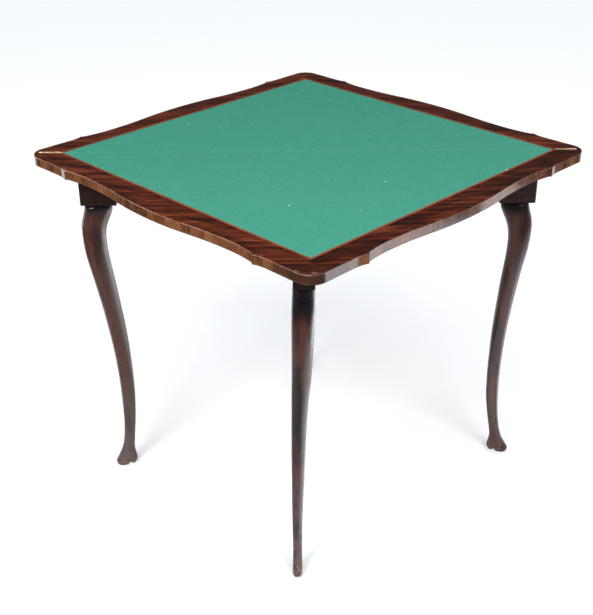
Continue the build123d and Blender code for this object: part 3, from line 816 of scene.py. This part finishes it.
def carve_hoof(point, outward, sideways):
    """Moves a point near the floor. Outward and sideways go from -1 to 1 over the foot."""
    height = point.z
    flank = 1 - fade(abs(sideways), *flank_part)
    groove = hump(outward - groove_place, groove_width) * flank * fade(height, *groove_heights)
    point.y -= math.copysign(groove_depth * groove, sideways)
    toe = 1 - fade(outward, *toe_part)
    cleft = hump(sideways, cleft_width) * fade(height, *cleft_heights)
    point.x -= cleft_depth * cleft * toe
    heel = fade(outward, *lobe_part) * hump(height - lobe_height, lobe_width)
    point.x -= lobe_swell * heel
    claw = hump(abs(sideways) - claw_side, claw_spread) * hump(height - claw_height, claw_height)
    claw *= 1 - fade(outward, *claw_part)
    point.y += math.copysign(claw_swell * claw, sideways)
    arch = hump(outward - groove_place, notch_width)
    sole_cleft = hump(sideways, cleft_width) * (1 - fade(outward, *sole_cleft_part)) * sole_cleft_share
    point.z += notch_depth * fade(height, 0.0, notch_height) * max(arch, sole_cleft)


print("groove and cleft in mm:", [round(depth / mm, 1) for depth in (groove_depth, cleft_depth)])

# %% [markdown]
# ## The legs
#
# A leg could be lofted between profiles, but Blender's extrude does as well: a circle becomes the sole,
# and each new ring is extruded from the one before and set to its measured place and width. A section
# between a circle and a square suits a leg that was sawn square and rounded by hand. Extrude makes its
# walls in a chance order, so they are sorted at the end, and every run gives the same mesh. One level
# of subdivision smooths what lies between the rings.

# %% Build the legs
ring_points = 56
ring_squareness = 2.5
sole_shares = (0.25, 0.5, 0.75, 0.93)


def shape_ring(loop, directions, ring, share=1.0):
    """Gives a loop the place and size of a measured ring, at a share of its width."""
    middle, half_out, half_side = ring
    power = 2 / ring_squareness
    for vert, way in zip(loop, directions):
        outward = math.copysign(abs(way.x) ** power, way.x) * share
        sideways = math.copysign(abs(way.y) ** power, way.y) * share
        vert.co = middle + Vector((outward * half_out, sideways * half_side, 0))
        carve_hoof(vert.co, outward, sideways)


def next_loop(leg, edges, loop):
    """Extrudes a loop of edges. Returns the new edges, and the new points in the order of the old ones."""
    made = bmesh.ops.extrude_edge_only(leg, edges=edges)["geom"]
    fresh = {item for item in made if isinstance(item, bmesh.types.BMVert)}
    new_edges = [item for item in made if isinstance(item, bmesh.types.BMEdge)
                 and item.verts[0] in fresh and item.verts[1] in fresh]
    links = {vert: edge.other_vert(vert) for vert in fresh for edge in vert.link_edges
             if edge.other_vert(vert) not in fresh}
    return new_edges, [next(vert for vert in fresh if links[vert] is old) for old in loop]


def sort_by_points(shape):
    """Puts edges and faces in the order of their first and last points."""
    shape.verts.index_update()
    count = len(shape.verts)
    for group in (shape.edges, shape.faces):
        group.sort(key=lambda item: min(vert.index for vert in item.verts) * count
                   + max(vert.index for vert in item.verts))


def carved_leg(name, node, body):
    """A leg of extruded rings, with the hoof pressed into it."""
    leg = bmesh.new()
    rings = measured[node]
    loop = bmesh.ops.create_circle(leg, segments=ring_points, radius=1.0)["verts"]
    directions = [vert.co.copy() for vert in loop]
    shape_ring(loop, directions, rings[0], sole_shares[0])
    bmesh.ops.edgeloop_fill(leg, edges=leg.edges)
    loops = [loop]
    edges = leg.edges[:]
    for ring, share in [(rings[0], share) for share in sole_shares[1:]] + [(ring, 1.0) for ring in rings]:
        edges, loop = next_loop(leg, edges, loop)
        shape_ring(loop, directions, ring, share)
        loops.append(loop)
    bmesh.ops.edgeloop_fill(leg, edges=edges)
    bmesh.ops.rotate(leg, verts=leg.verts, matrix=turns[node])
    for loop in loops:
        trim_ring(node, loop)
    bmesh.ops.recalc_face_normals(leg, faces=leg.faces)
    sort_by_points(leg)
    piece = new_piece(name, leg, finishes[node])
    finer = piece.modifiers.new("finer", "SUBSURF")
    finer.levels = finer.render_levels = 1
    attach(piece, body)
    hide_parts(node)
    return piece


for node, body in leg_bodies.items():
    piece = carved_leg(f"carved_{node}", node, body)
    print(piece.name, "faces:", len(piece.data.polygons))

# %% [markdown]
# ## Frame, gate and hidden woods
#
# The posts, rails and the gate are stained almost black to match the legs, while glue blocks and cores
# were never meant to be seen and are plain planed wood. A scanned wood could be laid on them, but two
# noises that are stretched along the grain, a broad one and a fine one, do for both. Only the polish and
# colours differ.

# %% Frame woods
rail_dark = (0.0110, 0.0050, 0.0042)
rail_brown = (0.0420, 0.0140, 0.0098)
plain_dark = (0.150, 0.082, 0.040)
plain_light = (0.300, 0.180, 0.095)
# The two colours, the size of the grain, the roughness, and the weight of the polish.
rail_look = (rail_dark, rail_brown, (0.16, 0.16, 0.010), 0.34, 0.12)
planed_look = (plain_dark, plain_light, (0.20, 0.20, 0.012), 0.62, 0.0)
fine_share = 8
rough_spread = 0.15
plane_depth = 0.08 * mm


def plain_wood(name, dark, light, size, rough, coat):
    """Straight-grained wood, from dark to light."""
    material, tree, shader = new_finish(name, Coat_Weight=coat, Coat_Roughness=0.22, Specular_IOR_Level=0.2)
    broad = noise_of(tree, size, detail=3.0, roughness=0.55, distortion=0.4)
    fine = noise_of(tree, tuple(length / fine_share for length in size), detail=3.0, roughness=0.6)
    tone = weighted(tree, (broad, 0.6), (fine, 0.4))
    feed(tree, shader, Base_Color=ramp(tree, tone, [(0.36, dark), (0.64, light)]),
         Roughness=rise(tree, fine, *usual_noise, rough, rough + rough_spread))
    bump(tree, shader, fine, plane_depth)
    return material


finishes["rail_wood"] = plain_wood("dark_rail_wood", *rail_look)
finishes["secondary_wood"] = plain_wood("planed_wood", *planed_look)
print("woods:", finishes["rail_wood"].name, finishes["secondary_wood"].name)

# %% [markdown]
# ## Leaf cores
#
# The core of each leaf is planed wood too, hidden under its veneers. Only its straight edge at the fold
# shows, when the table is closed, and there it is stained like rosewood. A second piece for that edge
# isn't needed, because the distance from the fold tells the stained edge from the rest.

# %% Leaf core
fold_face = abs(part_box("back_leaf_core")[0].y)
stain_reach = (fold_face + 0.5 * mm, fold_face + 1.0 * mm)
fold_grain = (0.09, 1.0, 0.0035)


def core_wood(name):
    """Planed wood with a stained edge at the fold."""
    material = plain_wood(name, *planed_look)
    tree = material.node_tree
    shader = tree.nodes["Principled BSDF"]
    planed = shader.inputs["Base Color"].links[0].from_socket
    at_fold = rise(tree, calc(tree, "ABSOLUTE", parts_of_place(tree)[1]), *stain_reach, 1.0, 0.0)
    grain = noise_of(tree, fold_grain, detail=3.0, roughness=0.6)
    stained = ramp(tree, grain, [(0.40, border_dark), (0.64, border_red)])
    feed(tree, shader, Base_Color=blend_colours(tree, at_fold, planed, stained))
    return material


finishes["leaf_core"] = core_wood("core_wood")
print("fold face at", round(fold_face / mm, 2), "mm from the fold")

# %% [markdown]
# ## Metal
#
# The fold turns on small brass butt hinges, whose knuckles are rubbed bright and show as pale strips at
# both tips. Screws are dull steel, and the gate turns on an iron rod. A metal could be one smooth colour,
# but old metal is tarnished in patches, so noise goes into its colour and even more into its roughness.

# %% Metal finishes
tarnish_size = (0.008, 0.004, 0.004)
metal_scratch_size = (0.02, 0.0004, 0.0004)
metal_scratch_depth = 0.02 * mm


def metal(name, clean, tarnished, smooth, rough):
    """Metal with patches of tarnish."""
    material, tree, shader = new_finish(name, Metallic=1.0)
    patches = noise_of(tree, tarnish_size, detail=4.0, roughness=0.65)
    feed(tree, shader, Base_Color=ramp(tree, patches, [(0.42, clean), (0.68, tarnished)]),
         Roughness=rise(tree, patches, *usual_noise, smooth, rough))
    bump(tree, shader, noise_of(tree, metal_scratch_size), metal_scratch_depth)
    return material


# Name, clean and tarnished colour, and roughness where smooth and where rough.
metals = {"brass": ("rubbed_brass", (0.80, 0.62, 0.44), (0.42, 0.26, 0.14), 0.42, 0.62),
          "steel_screws": ("dull_steel", (0.42, 0.41, 0.40), (0.20, 0.16, 0.13), 0.35, 0.6),
          "iron": ("dark_iron", (0.16, 0.15, 0.15), (0.07, 0.05, 0.045), 0.45, 0.7)}
for metal_slot, looks in metals.items():
    finishes[metal_slot] = metal(*looks)
print("metals:", [finishes[name].name for name in metals])

# %% [markdown]
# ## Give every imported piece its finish
#
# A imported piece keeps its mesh, and only its material slots change. Border, band and stringing take the
# finish of their side, because the grain follows the side: a side rises or falls from left to right, as
# seen from above. Each node's name says what it is, so no list of nodes is needed.

# %% Hand out the finishes
rising_sides = ("back_left", "front_right")
for node, piece in nodes.items():
    parts = node.split("_")
    leaf_side = f"{parts[0]}_{parts[-1]}"
    slope = "rising" if leaf_side in rising_sides else "falling"
    if "border" in node:
        finish = finishes[f"border_{leaf_side}"]
    elif "edge_band" in node:
        finish = finishes[f"band_{slope}"]
    elif "stringing" in node:
        finish = finishes[f"string_{slope}"]
    elif node == "front_show_veneer":
        finish = finishes["show_veneer"]
    elif "leaf_core" in node:
        finish = finishes["leaf_core"]
    elif node in leg_looks:
        finish = finishes[node]
    else:
        finish = finishes[piece.material_slots[0].material.name]
    for slot in piece.material_slots:
        slot.material = finish
print("finishes:", len(finishes), "on", len(nodes), "packed pieces")

# %% [markdown]
# ## Floor and cards
#
# The table stands on a pale sweep that is lit until it is almost white. Polish mirrors whatever lies
# around it, and a floor that is white all over turns dark wood milky. Photographers lay black cloth and
# white board round such a piece, and these cards do the same: they lie on the floor, and only reflections
# see them. The dark ones keep the polish deep on its left and near side, and the bright ones give each
# leg a light right edge.

# %% Floor and cards
floor_low = (-9, -7)
floor_high = (9, 13)
floor_colour = (0.86, 0.87, 0.89)
floor_glow = 0.20
glow_colour = (0.88, 0.95, 1.0, 1.0)
card_height = 3 * mm
card_colour = (0.02, 0.02, 0.02)


def flat_stage(name, low, high, height, colour, glow):
    """A level rectangle that isn't part of the table."""
    sheet = bmesh.new()
    bmesh.ops.create_grid(sheet, x_segments=1, y_segments=1, size=0.5)
    bmesh.ops.scale(sheet, verts=sheet.verts, vec=(high[0] - low[0], high[1] - low[1], 1))
    middle = ((low[0] + high[0]) / 2, (low[1] + high[1]) / 2, height)
    bmesh.ops.translate(sheet, verts=sheet.verts, vec=middle)
    finish = new_finish(name, Base_Color=(*colour, 1.0), Roughness=0.9, Specular_IOR_Level=0.1,
                        Emission_Color=glow_colour, Emission_Strength=glow)[0]
    piece = new_piece(name, sheet, finish, smooth=False)
    piece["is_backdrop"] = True
    return piece


flat_stage("floor", floor_low, floor_high, 0.0, floor_colour, floor_glow)
# The near left and far right corner of each card in metres, and its glow.
cards = {"left_card": ((-4.5, -4.0), (-1.02, 0.9), 0.0),
         "near_card": ((-1.02, -4.0), (0.9, -0.88), 0.0),
         "near_right_card": ((0.9, -4.0), (4.5, -0.74), 0.0),
         "grey_right_card": ((0.9, -0.74), (1.8, -0.62), 0.4),
         "right_card": ((1.95, -0.74), (4.5, 0.2), 0.0),
         "far_right_card": ((2.15, 0.2), (4.5, 1.2), 0.0),
         "middle_card": ((-1.02, -0.88), (0.08, 0.1), 0.50),
         "bright_front_card": ((0.1, -0.62), (0.5, -0.05), 2.6),
         "bright_back_card": ((-0.35, 0.12), (0.1, 0.7), 2.4),
         "bright_right_card": ((0.62, -0.5), (1.1, 0.9), 6.0)}
for name, (low, high, glow) in cards.items():
    card = flat_stage(name, low, high, card_height, card_colour, glow)
    card.visible_camera = card.visible_diffuse = card.visible_shadow = card.visible_transmission = False
print("cards:", sorted(cards))

# %% [markdown]
# ## Backdrop
#
# A studio sweep curves up behind the table, so a camera near the floor never sees where it ends. Here a
# round wall stands far away in every direction, pale as the floor. It glows by itself, and only the
# camera sees it, so it neither lights the table nor shows in the polish.

# %% Backdrop
backdrop_middle = (0.0, 3.0, 3.5)
backdrop_radius = 12.0
backdrop_height = 9.0
backdrop_colour = (0.93, 0.95, 0.97, 1.0)


def round_backdrop(name):
    """A pale round wall behind everything, whose faces point inwards."""
    wall = bmesh.new()
    bmesh.ops.create_cone(wall, cap_ends=False, segments=64, radius1=backdrop_radius,
                          radius2=backdrop_radius, depth=backdrop_height)
    bmesh.ops.translate(wall, verts=wall.verts, vec=backdrop_middle)
    bmesh.ops.reverse_faces(wall, faces=wall.faces)
    finish = new_finish(name, Base_Color=(0.0, 0.0, 0.0, 1.0), Specular_IOR_Level=0.0,
                        Emission_Color=backdrop_colour, Emission_Strength=1.0)[0]
    piece = new_piece(name, wall, finish, smooth=False)
    piece.visible_glossy = piece.visible_diffuse = piece.visible_shadow = piece.visible_transmission = False
    piece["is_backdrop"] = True
    return piece


print("backdrop:", round_backdrop("backdrop").name)

# %% [markdown]
# ## Lights
#
# The light is soft: a wide light overhead, and two softboxes, left and right of the camera, whose light
# falls steeply enough to leave the tops of the legs in the shadow of the table. A bright sky all round
# could do the same, but the polish would mirror it and turn milky. The light overhead is hidden from
# reflections for that reason, and the world itself is almost dark.

# %% Lights
table_middle = (0.0, 0.0, 0.4)
softbox_colour = (1.0, 0.98, 0.96)
# The place of each softbox, the length of its side in metres, and its power in watts.
softboxes = {"left_softbox": ((-1.35, -2.0, 2.7), 1.1, 62), "right_softbox": ((1.35, -2.0, 2.7), 1.2, 50)}
ceiling_direction = (0.0, 0.12, -1.0)
ceiling_strength = 2.4
ceiling_spread = math.radians(100)
sky_colour = (0.9, 0.95, 1.0, 1.0)
sky_strength = 0.07


def hang(name, light, direction):
    """Puts a light into the scene, turned to shine in a direction."""
    lamp = bpy.data.objects.new(name, light)
    lamp.rotation_mode = "QUATERNION"
    lamp.rotation_quaternion = direction.to_track_quat("-Z", "Y")
    bpy.context.scene.collection.objects.link(lamp)
    return lamp


for name, (place, size, power) in softboxes.items():
    light = bpy.data.lights.new(name, "AREA")
    light.shape = "SQUARE"
    light.size = size
    light.energy = power
    light.color = softbox_colour
    lamp = hang(name, light, Vector(table_middle) - Vector(place))
    lamp.location = place
light = bpy.data.lights.new("ceiling", "SUN")
light.energy = ceiling_strength
light.angle = ceiling_spread
ceiling = hang("ceiling", light, Vector(ceiling_direction))
ceiling.visible_glossy = False
world = bpy.data.worlds.new("studio")
world.use_nodes = True
sky = world.node_tree.nodes["Background"]
sky.inputs["Color"].default_value = sky_colour
sky.inputs["Strength"].default_value = sky_strength
bpy.context.scene.world = world
print("lights:", [light.name for light in bpy.data.lights])

# %% [markdown]
# ## Sizes and finish
#
# The dressed table must fill the same box as the imported one, so how far each side of the box has
# grown is printed.

# %% Compare the two boxes
low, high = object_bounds()
grown = [(after - before) / mm for before, after in zip([*cad_low, *cad_high], [*low, *high])]
print("grown by, in mm:", [round(length, 2) for length in grown])
